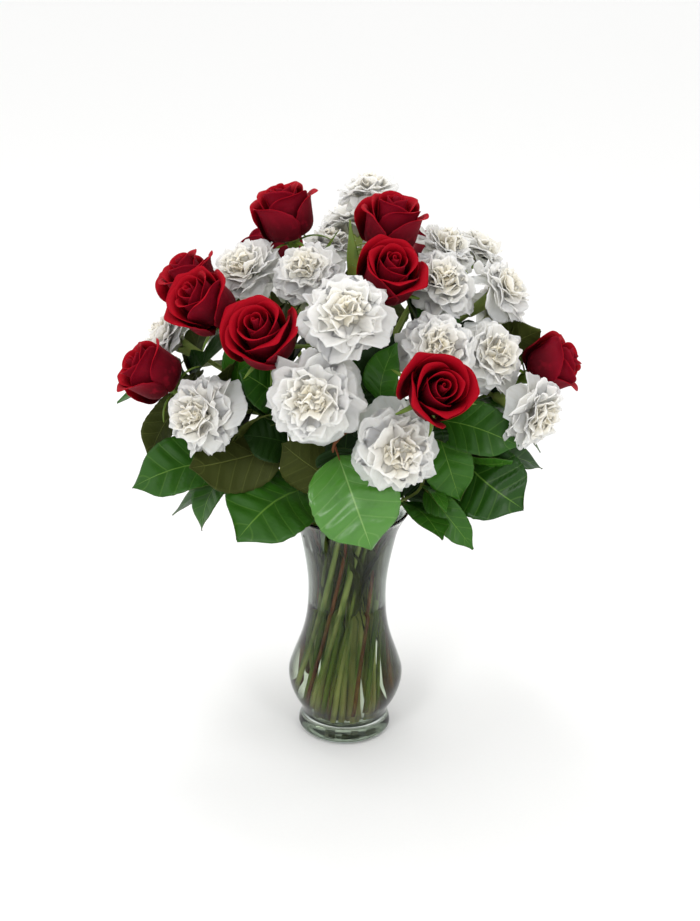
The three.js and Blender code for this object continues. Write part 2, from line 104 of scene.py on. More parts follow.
# for each kind of flower: the width of head that its petals are drawn for, the height of the head's
# middle above the petals' root, and the depth of the green cup below that root
ROSE_SIZE, ROSE_MIDDLE, ROSE_CUP = 60, 24, 9
CARNATION_SIZE, CARNATION_MIDDLE, CARNATION_CUP = 76, 20, 28
ROSE_PETALS, CARNATION_PETALS, SEPALS = 15, 42, 5
# petals beyond this share of the way inwards are the crumpled heart of a carnation
HEART = 0.74
# teeth on each half of a carnation petal's rim, and the heights drawn for a rim, a few to spare
TEETH_A_SIDE, TEETH_DRAWN = 12, 30
# thickness of each kind of petal and blade
ROSE_WALL, CARNATION_WALL, SEPAL_WALL, LEAF_WALL = 0.4, 0.3, 0.35, 0.4
# squares across and along each kind of petal and blade, and stretches of a petal's midline
ROSE_GRID, CARNATION_GRID, SEPAL_GRID = (30, 20), (22, 14), (4, 12)
LEAF_GRID, STEM_LEAF_GRID, VASE_LEAF_GRID = (14, 32), (6, 18), (6, 20)
MIDLINE_STEPS = 24
# a leaf's pairs of side veins, how far forward they sweep, and the share at which they'd stop doing so
VEIN_PAIRS, VEIN_SLANT, VEIN_FAN = 6, 1.9, 1.25

# middle of the head, the way it faces, its width, and how far it has opened
ROSES = [
    ((-59, 5, 487), (-90, 75), 58, 0.3),
    ((30, -15, 486), (60, 80), 58, 0.35),
    ((29, -68, 458), (15, 50), 60, 0.15),
    ((-122, -68, 429), (-50, 45), 60, 0.3),
    ((-139, 6, 427), (-80, 60), 54, 0.4),
    ((-72, -105, 416), (-20, 48), 62, 0.35),
    ((-169, -48, 361), (-75, 35), 58, 0.3),
    ((66, -150, 388), (15, 30), 62, 0.2),
    ((170, -25, 368), (80, 30), 56, 0.15),
    ((-75, 95, 425), (-150, 40), 58, 0.5),
    ((70, 112, 415), (150, 38), 58, 0.4),
    ((5, 152, 350), (180, 20), 58, 0.6),
]
# middle of the head, the way it faces, and its width
CARNATIONS = [
    ((12, 45, 496), (180, 80), 58),
    ((-90, -26, 446), (-40, 50), 64),
    ((-39, -52, 453), (-15, 52), 60),
    ((-5, -122, 439), (0, 38), 76),
    ((-30, -138, 375), (-10, 15), 78),
    ((37, -135, 332), (15, 8), 76),
    ((-122, -95, 343), (-40, 12), 70),
    ((72, -39, 443), (30, 48), 66),
    ((78, 16, 456), (80, 60), 60),
    ((126, -10, 429), (75, 40), 60),
    ((68, -97, 404), (15, 32), 68),
    ((115, -62, 388), (40, 28), 66),
    ((152, -75, 342), (50, -8), 66),
    ((-159, 4, 375), (-90, 30), 60),
    ((-22, 37, 450), (180, 76), 56),
    ((107, 63, 442), (120, 50), 60),
    ((-125, 86, 375), (-130, 25), 66),
    ((0, 96, 455), (180, 50), 66),
    ((132, 72, 380), (120, 25), 66),
    ((-60, 142, 365), (-160, 20), 66),
]
# place of each pair of stems in the neck, and the flowers of its outer and inner stem
PAIRS = [
    ("outer", -18, ("c5", "r6")), ("outer", 18, ("c6", "r8")), ("outer", 90, ("r9", "c10")),
    ("outer", 162, ("r12", "r11")), ("outer", -162, ("c20", "r10")), ("outer", -90, ("r7", "c14")),
    ("middle", 0, ("c4", "r3")), ("middle", 40, ("c11", "c8")), ("middle", 80, ("c13", "c12")),
    ("middle", 130, ("c19", "c16")), ("middle", -155, ("c17", "c18")), ("middle", -100, ("r5", "c2")),
    ("middle", -50, ("c7", "r4")), ("centre", 80, ("c9", "r2")), ("centre", 165, ("c1", "c15")),
    ("centre", -65, ("c3", "r1")),
]
# narrow leaves on rose stems: the rose, the leaf's tip and its width. They grow from the seventh
# point of the stem's path, counted from the rose.
STEM_LEAF_SEAT = -7
STEM_LEAVES = {
    "r8": ((26, -100, 402), 16),
    "r1": ((-20, -6, 476), 14),
    "r2": ((-6, -22, 486), 13),
}
# azimuth in the neck, the stick's route above the lip, and its leaves as
# (step of the route that it grows from, tip, width, degrees that the blade is turned over)
SPRAYS = [
    (0, [(-2, -44, 228), (-4, -72, 272), (-13, -100, 322), (28, -78, 345)],
     [(2, (20, -138, 245), 74, 0), (1, (-58, -86, 316), 44, 180), (3, (32, -108, 410), 32, 54),
      (3, (-15, -72, 390), 40, -17)]),
    (36, [(27, -38, 228), (46, -58, 254), (62, -68, 276), (70, -52, 330)],
     [(1, (78, -118, 248), 38, 10), (2, (105, -98, 229), 26, -40), (3, (92, -88, 268), 44, -60),
      (3, (-2, -67, 343), 28, -45), (3, (137, -91, 321), 44, -57), (2, (81, -104, 266), 15, 0)]),
    (72, [(43, -13, 228), (70, -31, 260), (96, -41, 291), (98, -30, 339)],
     [(2, (146, -85, 261), 66, -60), (3, (135, -57, 332), 40, 0), (2, (136, -71, 296), 38, 215),
      (2, (166, -38, 282), 36, 0)]),
    (108, [(44, 14, 228), (88, 20, 270), (118, 14, 306), (110, 4, 352)],
     [(2, (182, 40, 292), 44, 0), (2, (168, -10, 286), 30, 0), (1, (146, 62, 252), 50, 0),
      (3, (160, -12, 396), 40, 0), (3, (50, -47, 423), 41, -6)]),
    (144, [(30, 36, 228), (56, 70, 268), (72, 90, 306), (60, 78, 350)],
     [(2, (108, 168, 298), 50, 0), (2, (146, 104, 318), 46, 0), (1, (104, 110, 240), 46, 0),
      (3, (102, 98, 405), 40, -2)]),
    (180, [(0, 47, 227), (0, 85, 267), (10, 102, 305), (6, 83, 356)],
     [(2, (-12, 184, 284), 50, 0), (1, (52, 130, 256), 44, 0), (1, (-46, 124, 248), 44, 0),
      (3, (30, 112, 410), 44, 0)]),
    (-144, [(-30, 36, 228), (-58, 70, 268), (-74, 90, 306), (-60, 74, 350)],
     [(2, (-112, 164, 300), 50, 0), (2, (-148, 104, 316), 46, 0), (1, (-106, 106, 240), 46, 0),
      (3, (-100, 70, 404), 44, 0)]),
    (-108, [(-44, 12, 228), (-86, 20, 268), (-120, 14, 306), (-138, 2, 332)],
     [(3, (-177, -25, 275), 42, -60), (3, (-205, 2, 317), 30, 0), (1, (-146, 56, 258), 46, 0),
      (3, (-156, 15, 353), 30, 21)]),
    (-72, [(-43, -14, 228), (-72, -28, 258), (-98, -40, 280), (-96, -32, 330)],
     [(2, (-184, -68, 268), 60, 25), (2, (-127, -75, 231), 38, 0), (1, (-157, -26, 226), 34, 0),
      (3, (-102, -58, 376), 50, 50), (3, (-72, -54, 429), 29, -39)]),
    (-36, [(-26, -38, 228), (-34, -56, 266), (-50, -62, 308), (-56, -48, 340)],
     [(1, (-91, -125, 247), 80, 20), (2, (-133, -105, 297), 56, 215),
      (3, (-90, -74, 374), 46, 0), (3, (-47, -56, 427), 35, 43)]),
]

# leaves deep in the bouquet, dark with painted shade, by the number of their spray, in the same form
INNER_LEAVES = {
    1: [(3, (1, -82, 323), 39, -11), (3, (20, -84, 368), 36, 20), (2, (-10, -92, 300), 38, 10),
        (1, (0, -60, 340), 34, 0), (3, (14, -55, 430), 34, 0)],
    2: [(3, (78, -78, 318), 44, -20), (3, (60, -72, 288), 40, 0), (3, (48, -59, 407), 32, -53),
        (3, (52, -70, 382), 36, -30), (3, (41, -71, 329), 40, 0), (3, (38, -41, 443), 28, -27),
        (1, (44, -62, 310), 36, 0), (3, (50, -28, 427), 34, 6), (1, (84, -40, 284), 38, 0)],
    3: [(3, (105, -68, 330), 44, -20), (3, (118, -52, 300), 44, 0), (3, (70, -66, 356), 36, 20),
        (3, (128, -29, 391), 35, 2), (1, (40, -42, 286), 36, 0)],
    4: [(3, (128, -34, 341), 40, -36), (3, (112, -42, 360), 40, -20), (3, (86, -30, 402), 38, 10),
        (3, (71, -26, 415), 29, -18), (3, (140, 10, 400), 36, 10)],
    5: [(3, (95, 41, 371), 44, 1), (3, (60, 24, 431), 33, -22)],
    6: [(3, (40, 60, 400), 44, 0), (3, (-30, 70, 400), 44, 0), (3, (3, 72, 428), 35, 4)],
    7: [(3, (-70, 40, 390), 44, 0), (3, (-96, 60, 360), 44, 0), (3, (-41, 17, 429), 36, -23)],
    8: [(3, (-150, -28, 345), 40, 20), (3, (-128, -14, 369), 30, -33), (3, (-102, -41, 391), 34, 4),
        (3, (-123, 33, 394), 32, 36)],
    9: [(3, (-128, -52, 352), 42, 20), (3, (-101, -63, 300), 42, -12), (3, (-79, -38, 394), 37, 65),
        (3, (-110, -60, 330), 38, 30), (2, (-65, -92, 347), 29, 54), (2, (-81, -40, 347), 31, -11)],
    10: [(3, (-93, -70, 352), 40, 30), (2, (-88, -74, 318), 44, 20), (3, (-37, -78, 330), 32, 22),
         (3, (-35, -59, 403), 33, 50), (3, (-66, -80, 330), 36, 30), (3, (-49, -70, 424), 27, 33),
         (3, (-46, -40, 415), 34, 0)],
}
# one narrow leaf that hangs into the vase: the number of its spray, and the leaf in the same form
HANGING_FROM = 1
HANGING_LEAF = (1, (-23, -32, 185), 9, 0)
# the width that tells the front leaf over the vase's lip, which is glossier, and painted paler as the most
# lit leaf
FRONT_LIT_LEAF = 74
# small leaves on the sticks in the vase, in degrees from the stick's own place: thin ones among the
# stems, and broader ones along the glass, which leave so many degrees each side of the front clear
THIN_LEAF_TURNS = (-16, -9, -2, 5, 12, 19)
GLASS_LEAF_TURNS = (-9, 9)
CLEAR_FRONT = 48
# height of the arch of those along the glass, as a share of their length
GLASS_LEAF_BOW = 0.045

# ---------------------------------------------------------------- camera and light

# the photograph's view: lens and sensor in millimetres, place in metres and angles in degrees
LENS, SENSOR = 67.07, 36
CAMERA_PLACE = (0, -1.4, 0.846)
CAMERA_DOWN, CAMERA_ROLL = 22.5, 1.29
# soft boxes: name, place and width in metres, and power in watts
LAMPS = [
    ("key", (-0.9, -1.9, 1.9), 0.6, 13),
    ("fill", (1.1, -1.8, 1.5), 0.5, 6),
    ("overhead", (-0.25, 0.4, 1.75), 0.4, 5),
]
LAMP_AIM = (0, 0, 0.3)
# metres from the vase to each edge of the board, so that they lie near the horizon
FLOOR_HALF = 40


def make_camera():
    """A long lens in front of the bouquet and above it, tipped down and rolled a little."""
    lens = bpy.data.cameras.new("camera")
    lens.lens = LENS
    lens.sensor_width = SENSOR
    lens.dof.use_dof = False
    camera = bpy.data.objects.new("camera", lens)
    pitch = Matrix.Rotation(math.radians(90 - CAMERA_DOWN), 4, "X")
    roll = Matrix.Rotation(math.radians(CAMERA_ROLL), 4, "Z")
    camera.matrix_world = Matrix.Translation(CAMERA_PLACE) @ pitch @ roll
    bpy.context.scene.collection.objects.link(camera)
    bpy.context.scene.camera = camera


def make_lamp(name, place, width, power):
    """A soft box that faces the bouquet."""
    lamp = bpy.data.lights.new(name, "AREA")
    lamp.size = width
    lamp.energy = power
    holder = bpy.data.objects.new(name, lamp)
    holder.location = place
    aim = Vector(LAMP_AIM) - Vector(place)
    holder.rotation_euler = aim.to_track_quat("-Z", "Y").to_euler()
    bpy.context.scene.collection.objects.link(holder)


def make_studio():
    """An even white surround and the soft boxes, with plain colours in the picture."""
    world = bpy.data.worlds.new("studio")
    world.use_nodes = True
    world.node_tree.nodes["Background"].inputs["Color"].default_value = (1, 1, 1, 1)
    world.node_tree.nodes["Background"].inputs["Strength"].default_value = 1.0
    bpy.context.scene.world = world
    bpy.context.scene.view_settings.view_transform = "Standard"
    for lamp in LAMPS:
        make_lamp(*lamp)


make_camera()
make_studio()

# ---------------------------------------------------------------- materials

# size in millimetres of the cells of each pattern. The board's real tooth is too fine to show, so
# it is drawn coarser.
PETAL_MOTTLE, LEAF_PATCH, GLASS_WAVE, WATER_RIPPLE, BOARD_TOOTH = 7.143, 16.67, 35.71, 22.22, 3.333
# settings of a Map Range that steps softly, and of a Mix of colours. The Mix node's sockets repeat
# their names, so they go by number: 0 is the share, 6 the colour at none of it and 7 at all of it.
SOFT = {"interpolation_type": "SMOOTHSTEP"}
COLOURS = {"data_type": "RGBA", "out": 2}


def colour(code):
    """The linear colour of an sRGB hex value."""
    parts = [int(code[i:i + 2], 16) / 255 for i in (1, 3, 5)]
    linear = [p / 12.92 if p <= 0.04045 else ((p + 0.055) / 1.055) ** 2.4 for p in parts]
    return (*linear, 1)


def add(tree, kind, inputs=None, out=0, **settings):
    """Adds a node and returns one of its outputs. A value in inputs is linked if it is another node's
    output, and is set as a constant if not."""
    node = tree.nodes.new("ShaderNode" + kind)
    for name, value in settings.items():
        setattr(node, name, value)
    for name, value in (inputs or {}).items():
        if isinstance(value, bpy.types.NodeSocket):
            tree.links.new(value, node.inputs[name])
        else:
            node.inputs[name].default_value = value
    return node.outputs[out]


def new_material(name, **sockets):
    """A material with constants on its shader's sockets. Returns it and its tree."""
    made = bpy.data.materials.new(name)
    made.use_nodes = True
    shader = made.node_tree.nodes["Principled BSDF"]
    for socket, value in sockets.items():
        shader.inputs[socket.replace("_", " ")].default_value = value
    return made, made.node_tree


def linked(made, **outputs):
    """The material, once nodes' outputs are linked to its shader's sockets."""
    shader = made.node_tree.nodes["Principled BSDF"]
    for socket, output in outputs.items():
        made.node_tree.links.new(output, shader.inputs[socket.replace("_", " ")])
    return made


def place_on_sheet(tree, axis):
    """A petal's or leaf's own coordinate from 0 to 1: X across it, or Y from its root to its edge."""
    spot = add(tree, "UVMap", uv_map="sheet")
    return add(tree, "SeparateXYZ", {"Vector": spot}, out=axis)


def streaks(tree, across, along):
    """Noise drawn out along a petal, as its veins are: across and along are cells per petal."""
    spot = add(tree, "UVMap", uv_map="sheet")
    drawn = add(tree, "Mapping", {"Vector": spot, "Scale": (across, along, 1)})
    return add(tree, "TexNoise", {"Vector": drawn, "Scale": 1, "Detail": 2})


def carnation_petal():
    """Carnation petal: thin, matt and soft, with light passing into it. The heart's petals are cream,
    the outer ones a cool white, and each is greener towards its claw."""
    made, tree = new_material(
        "carnation_petal_matt", Roughness=0.65, Subsurface_Weight=0.9, Subsurface_Scale=0.005,
        Subsurface_Radius=(1.0, 0.97, 0.9), Sheen_Weight=0.05, Sheen_Roughness=0.5,
        Specular_IOR_Level=0.25)
    along = place_on_sheet(tree, "Y")
    tone = add(tree, "Attribute", out="Fac", attribute_name="tone")
    heart = add(tree, "MapRange", {"Value": tone, "From Min": 0.35, "From Max": 1.0}, **SOFT)
    pale = add(tree, "Mix", {0: heart, 6: colour("#edece7"), 7: colour("#f2e8cc")}, **COLOURS)
    veins = streaks(tree, 16, 3)
    shown = add(tree, "MapRange", {"Value": veins, "From Min": 0.4, "From Max": 0.9}, **SOFT)
    veined = add(tree, "Mix", {0: shown, 6: pale, 7: colour("#e4e1d6")}, **COLOURS)
    claw = add(tree, "MapRange", {"Value": along, "From Min": 0.62, "From Max": 0.1}, **SOFT)
    whole = add(tree, "Mix", {0: claw, 6: veined, 7: colour("#dad9a4")}, **COLOURS)
    bump = add(tree, "Bump", {"Height": veins, "Strength": 0.25, "Distance": 0.6 * MM})
    return linked(made, Base_Color=whole, Normal=bump)


def rose_petal(name, lit, deep):
    """Red rose petal: velvety, because tiny raised cells glow at a glancing angle. Its colour holds
    painted shade, deep towards the root and in the folds, and painted light, bright at the lip and in
    random spots; the outside of each petal is duller and browner."""
    made, tree = new_material(
        name, Roughness=0.65, Subsurface_Weight=0.12, Subsurface_Scale=0.0016,
        Subsurface_Radius=(1.0, 0.12, 0.1), Sheen_Weight=0.15, Sheen_Roughness=0.35,
        Sheen_Tint=colour("#c81e38"), Specular_IOR_Level=0.06)
    along = place_on_sheet(tree, "Y")
    veins = streaks(tree, 26, 2.5)
    spot = add(tree, "TexCoord", out="Object")
    mottle = add(tree, "TexNoise", {"Vector": spot, "Scale": 1000 / PETAL_MOTTLE, "Detail": 2})
    # painted shade towards each petal's root and in its folds, and painted light at the lip and in random
    # spots
    lip = add(tree, "MapRange", {"Value": along, "From Min": 0.45, "From Max": 1.0}, **SOFT)
    base = add(tree, "Mix", {0: lip, 6: colour(deep), 7: colour(lit)}, **COLOURS)
    folds = add(tree, "MapRange", {"Value": veins, "From Min": 0.55, "From Max": 1.1}, **SOFT)
    dark = add(tree, "Mix", {0: folds, 6: base, 7: colour(deep)}, **COLOURS)
    spots = add(tree, "MapRange", {"Value": mottle, "From Min": 0.5, "From Max": 0.85}, **SOFT)
    whole = add(tree, "Mix", {0: spots, 6: dark, 7: colour(lit)}, **COLOURS)
    bump = add(tree, "Bump", {"Height": veins, "Strength": 0.2, "Distance": 0.5 * MM})
    return linked(made, Base_Color=whole, Normal=bump)


def leaf_veins(tree):
    """The net of a leaf: 1 on its midrib, fainter on its side veins and 0 between them."""
    across, along = place_on_sheet(tree, "X"), place_on_sheet(tree, "Y")
    side = add(tree, "Math", {0: across, 1: 0.5}, operation="SUBTRACT")
    aside = add(tree, "Math", {0: side}, operation="ABSOLUTE")
    ahead = add(tree, "Math", {0: VEIN_FAN, 1: along}, operation="SUBTRACT")
    sweep = add(tree, "Math", {0: aside, 1: ahead}, operation="MULTIPLY")
    rise = add(tree, "Math", {0: along, 1: VEIN_PAIRS}, operation="MULTIPLY")
    slant = add(tree, "Math", {0: sweep, 1: -2 * VEIN_SLANT, 2: rise}, operation="MULTIPLY_ADD")
    cell = add(tree, "Math", {0: slant}, operation="FRACT")
    off = add(tree, "Math", {0: cell, 1: 0.5}, operation="SUBTRACT")
    gap = add(tree, "Math", {0: off}, operation="ABSOLUTE")
    side_vein = add(tree, "MapRange", {"Value": gap, "From Min": 0.42, "From Max": 0.5}, **SOFT)
    faint = add(tree, "Math", {0: side_vein, 1: 0.3}, operation="MULTIPLY")
    midrib = add(tree, "MapRange", {"Value": aside, "From Min": 0.016, "From Max": 0.004}, **SOFT)
    return add(tree, "Math", {0: faint, 1: midrib}, operation="MAXIMUM")


def leaf_side(name, body, pale, dark, rough, coat):
    """Leathery foliage leaf: a waxed upper side or a dull underside, with pale veins sunk in it. Leaves
    are darker by their tone, and in patches."""
    made, tree = new_material(
        name, Roughness=rough, Specular_IOR_Level=0.16, Coat_Weight=coat, Coat_Roughness=0.27)
    net = leaf_veins(tree)
    shown = add(tree, "Math", {0: net, 1: 0.6}, operation="MULTIPLY")
    spot = add(tree, "TexCoord", out="Object")
    patchy = add(tree, "TexNoise", {"Vector": spot, "Scale": 1000 / LEAF_PATCH, "Detail": 3})
    tone = add(tree, "Attribute", out="Fac", attribute_name="tone")
    aged = add(tree, "Mix", {0: tone, 6: colour(body), 7: colour(dark)}, **COLOURS)
    patch = add(tree, "MapRange", {"Value": patchy, "From Min": 0.45, "From Max": 1.1}, **SOFT)
    ground = add(tree, "Mix", {0: patch, 6: aged, 7: colour(dark)}, **COLOURS)
    whole = add(tree, "Mix", {0: shown, 6: ground, 7: colour(pale)}, **COLOURS)
    sunk = add(tree, "Bump", {"Height": net, "Strength": 0.5, "Distance": 1.0 * MM}, invert=True)
    return linked(made, Base_Color=whole, Normal=sunk)


def stem_skin(name, body, other, cut_end, rough, patch_mm):
    """A cut stem's skin: smooth, with long faint streaks and a second, deeper tint in patches. The same
    tint is painted shade on the stem from 100 mm up to 170 mm and above. The end that has stood in water is
    paler or redder."""
    made, tree = new_material(
        name, Roughness=rough, Specular_IOR_Level=0.25, Subsurface_Weight=0.08, Subsurface_Scale=0.001)
    spot = add(tree, "TexCoord", out="Object")
    height = add(tree, "SeparateXYZ", {"Vector": spot}, out="Z")
    drawn = add(tree, "Mapping", {"Vector": spot, "Scale": (1, 1, 0.2)})
    streaky = add(tree, "TexNoise", {"Vector": drawn, "Scale": 1000 / patch_mm, "Detail": 3})
    patch = add(tree, "MapRange", {"Value": streaky, "From Min": 0.35, "From Max": 0.68}, **SOFT)
    # painted shade: the stem takes three quarters of the deeper tint from 100 mm upwards, where the bouquet
    # shades it
    above = add(tree, "MapRange", {"Value": height, "From Min": 0.1, "From Max": 0.17}, **SOFT)
    painted_shade_above_water = add(tree, "Math", {0: above, 1: 0.75}, operation="MULTIPLY")
    second = add(tree, "Math", {0: patch, 1: painted_shade_above_water}, operation="MAXIMUM")
    green = add(tree, "Mix", {0: second, 6: colour(body), 7: colour(other)}, **COLOURS)
    low = add(tree, "MapRange", {"Value": height, "From Min": 0.075, "From Max": 0.02}, **SOFT)
    blotch = add(tree, "MapRange", {"Value": streaky, "From Min": 0.4, "From Max": 0.62}, **SOFT)
    soaked = add(tree, "Math", {0: low, 1: blotch}, operation="MULTIPLY")
    whole = add(tree, "Mix", {0: soaked, 6: green, 7: colour(cut_end)}, **COLOURS)
    bump = add(tree, "Bump", {"Height": streaky, "Strength": 0.25, "Distance": 0.5 * MM})
    return linked(made, Base_Color=whole, Normal=bump)


def clear_glass():
    """Soda-lime glass, blown: clear, with a painted dark reflection where the wall is seen edge on below
    the lip, and green-grey in the solid foot. It has faint waves from the blowing."""
    made, tree = new_material(
        "soda_lime_glass_blown", Roughness=0.0, IOR=1.52, Transmission_Weight=1.0,
        Specular_Tint=colour("#6c706c"))
    facing = add(tree, "LayerWeight", {"Blend": 0.4}, out="Facing")
    spot = add(tree, "TexCoord", out="Object")
    height = add(tree, "SeparateXYZ", {"Vector": spot}, out="Z")
    # painted reflection: the wall goes dark green-grey where it is seen edge on, below the lip
    edge = add(tree, "MapRange", {"Value": facing, "From Min": 0.28, "From Max": 0.62}, **SOFT)
    below_lip = add(tree, "MapRange", {"Value": height, "From Min": 0.221, "From Max": 0.214}, **SOFT)
    share = add(tree, "Math", {0: edge, 1: below_lip}, operation="MULTIPLY")
    body = add(tree, "Mix", {0: share, 6: colour("#eff4ee"), 7: colour("#2a332c")}, **COLOURS)
    foot = add(tree, "MapRange", {"Value": height, "From Min": 0.019, "From Max": 0.011}, **SOFT)
    whole = add(tree, "Mix", {0: foot, 6: body, 7: colour("#8e9993")}, **COLOURS)
    waves = add(tree, "TexNoise", {"Vector": spot, "Scale": 1000 / GLASS_WAVE, "Detail": 1})
    bump = add(tree, "Bump", {"Height": waves, "Strength": 0.12, "Distance": 1.0 * MM})
    return linked(made, Base_Color=whole, Normal=bump)


def still_water():
    """Water that has stood with stems in it: clear with a breath of green, and barely uneven."""
    made, tree = new_material(
        "standing_water", Roughness=0.0, IOR=1.333, Transmission_Weight=1.0,
        Base_Color=colour("#eef2e2"), Specular_Tint=colour("#6a6e6a"))
    spot = add(tree, "TexCoord", out="Object")
    ripples = add(tree, "TexNoise", {"Vector": spot, "Scale": 1000 / WATER_RIPPLE, "Detail": 1})
    bump = add(tree, "Bump", {"Height": ripples, "Strength": 0.05, "Distance": 1.0 * MM})
    return linked(made, Normal=bump)


def studio_floor():
    """White painted board, matt, with a barely visible tooth."""
    made, tree = new_material("matt_white_board", Roughness=0.7)
    spot = add(tree, "TexCoord", out="Object")
    tooth = add(tree, "TexNoise", {"Vector": spot, "Scale": 1000 / BOARD_TOOTH, "Detail": 2})
    tint = add(tree, "Mix", {0: tooth, 6: colour("#f9f9f8"), 7: colour("#fcfcfb")}, **COLOURS)
    return linked(made, Base_Color=tint)


WHITE_PETAL = carnation_petal()
RED_FACE = rose_petal("rose_petal_velvety_face", "#9e0519", "#4a030c")
RED_BACK = rose_petal("rose_petal_dull_outside", "#800c20", "#4a0510")
# painted light: a paler copy of the upper side, with more gloss, for the front leaf
LEAF_FRONT_LIT = leaf_side("leaf_front_waxed_gloss_painted_lit", "#437f1e", "#86b05c", "#2c6212", 0.35, 1.0)
LEAF_TOP = leaf_side("leaf_waxed_upper_side", "#437f1e", "#6f9a3c", "#183f06", 0.42, 0.2)
LEAF_UNDER = leaf_side("leaf_dull_underside", "#4b5320", "#717a3c", "#3a4119", 0.65, 0.0)
# painted shade: a dark copy of the leaf for those deep in the bouquet and in the vase
LEAF_SHADED = leaf_side("leaf_painted_shade_deep_inside", "#1b3a0a", "#2c4c16", "#0f2405", 0.5, 0.05)
# the second colour of each skin is its tint in patches and also its painted shade above the water
ROSE_GREEN = stem_skin("rose_stem_smooth", "#869c3e", "#4c6620", "#8a4a30", 0.5, 13)
CARNATION_GREEN = stem_skin("carnation_stem_waxy_bloom", "#d2d484", "#6f8c3a", "#e4d690", 0.55, 15)
WOODY_BROWN = stem_skin("spray_stick_woody", "#8d6434", "#6b3420", "#7a2a22", 0.6, 5)
WOODY_GREEN = stem_skin("spray_stick_young", "#7f8f3c", "#5d6b2a", "#8a5a30", 0.55, 7)
GLASS = clear_glass()
WATER = still_water()

# ---------------------------------------------------------------- making pieces


def outward(azimuth):
    """A level unit vector at an azimuth."""
    turn = math.radians(azimuth)
    return Vector((math.sin(turn), -math.cos(turn), 0))


def direction(azimuth, elevation):
    """The unit vector at an azimuth and an elevation."""
    rise = math.radians(elevation)
    return outward(azimuth) * math.cos(rise) + Z * math.sin(rise)


def mix(low, high, share):
    """The value at a share of the way from low to high."""
    return low + (high - low) * share


def smooth(low, high, value):
    """0 below low, 1 above high and a soft step between."""
    share = min(1, max(0, (value - low) / (high - low)))
    return share * share * (3 - 2 * share)


def smooth_run(knots, parts):
    """Points of a smooth curve from the second knot to the last but one, with each stretch in parts.
    The first and the last knot only lead it in and out."""
    run = []
    for a, b, c, d in zip(knots, knots[1:], knots[2:], knots[3:]):
        for k in range(parts):
            t = k / parts
            run.append(0.5 * (2 * b + (c - a) * t + (2 * a - 5 * b + 4 * c - d) * t ** 2
                              + (3 * b - a - 3 * c + d) * t ** 3))
    return [*run, knots[-2]]


def new_bmesh():
    """An empty mesh in the making, with its sheet coordinates and its tone."""
    bm = bmesh.new()
    bm.loops.layers.uv.new("sheet")
    bm.verts.layers.float.new("tone")
    return bm


def sheet(bm, grid, shape, tint, finish=0):
    """A petal or blade: a flat grid moved to shape(u, v), u from -1 to 1 across it and v from 0 at its
    root to 1 at its edge. Returns its faces."""
    across, along = grid
    made = bmesh.ops.create_grid(bm, x_segments=across, y_segments=along, size=1, calc_uvs=True)
    layer = bm.verts.layers.float["tone"]
    faces = set()
    for vert in made["verts"]:
        vert.co = shape(vert.co.x, (vert.co.y + 1) / 2)
        vert[layer] = tint
        faces.update(vert.link_faces)
    for face in faces:
        face.material_index = finish
    return list(faces)


def tube(bm, points, radii, finish, rounding):
    """A round stem through points, drawn as a curve with a radius at each point. The rounding is the
    curve's bevel resolution."""
    curve = bpy.data.curves.new("stem", "CURVE")
    curve.dimensions = "3D"
    curve.bevel_depth = 1
    curve.bevel_resolution = rounding
    curve.use_fill_caps = True
    spline = curve.splines.new("POLY")
    spline.points.add(len(points) - 1)
    for knot, place, radius in zip(spline.points, points, radii):
        knot.co = (*place, 1)
        knot.radius = radius
    holder = bpy.data.objects.new("stem", curve)
    mesh = bpy.data.meshes.new_from_object(holder)
    known = len(bm.faces)
    bm.from_mesh(mesh)
    bm.faces.ensure_lookup_table()
    for face in bm.faces[known:]:
        face.material_index = finish
    bpy.data.objects.remove(holder)
    bpy.data.curves.remove(curve)
    bpy.data.meshes.remove(mesh)


def turned(bm, outline, steps, finish=0):
    """Spins an outline of (radius, height) about +Z into faces. Returns their corners."""
    verts = [bm.verts.new((radius, 0, height)) for radius, height in outline]
    edges = [bm.edges.new(pair) for pair in zip(verts, verts[1:])]
    known = len(bm.faces)
    bmesh.ops.spin(
        bm, geom=verts + edges, cent=(0, 0, 0), axis=Z, angle=2 * math.pi, steps=steps, use_merge=True)
    bm.faces.ensure_lookup_table()
    corners = {vert for face in bm.faces[known:] for vert in face.verts}
    bmesh.ops.remove_doubles(bm, verts=list(corners), dist=1e-6)
    bm.faces.ensure_lookup_table()
    faces = bm.faces[known:]
    bmesh.ops.recalc_face_normals(bm, faces=faces)
    for face in faces:
        face.material_index = finish
    return list({vert for face in faces for vert in face.verts})


def merge_into(bm, other):
    """Adds another mesh in the making to bm."""
    mesh = bpy.data.meshes.new("part")
    other.to_mesh(mesh)
    other.free()
    bm.from_mesh(mesh)
    bpy.data.meshes.remove(mesh)


def finish_piece(bm, name, nodes, materials, thickness=0, back=0):
    """Turns a bmesh into a smooth piece that stands for CAD nodes. With a thickness, it gets a wall
    behind its faces. The finish of the wall's back and rim is so many places further on in the list
    of materials as back says."""
    for face in bm.faces:
        face.smooth = True
    mesh = bpy.data.meshes.new(name)
    bm.to_mesh(mesh)
    bm.free()
    for material in materials:
        mesh.materials.append(material)
    piece = bpy.data.objects.new(name, mesh)
    bpy.context.scene.collection.objects.link(piece)
    if thickness:
        wall = piece.modifiers.new("wall", "SOLIDIFY")
        wall.thickness = thickness
        wall.offset = -1
        wall.material_offset = back
        wall.material_offset_rim = back
    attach(piece, "root")
    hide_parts(*nodes)


# ---------------------------------------------------------------- vase and water


def softened(outline, parts):
    """A smooth run of points through the whole of an outline of (radius, height)."""
    return smooth_run([Vector(spot) for spot in (outline[0], *outline, outline[-1])], parts)


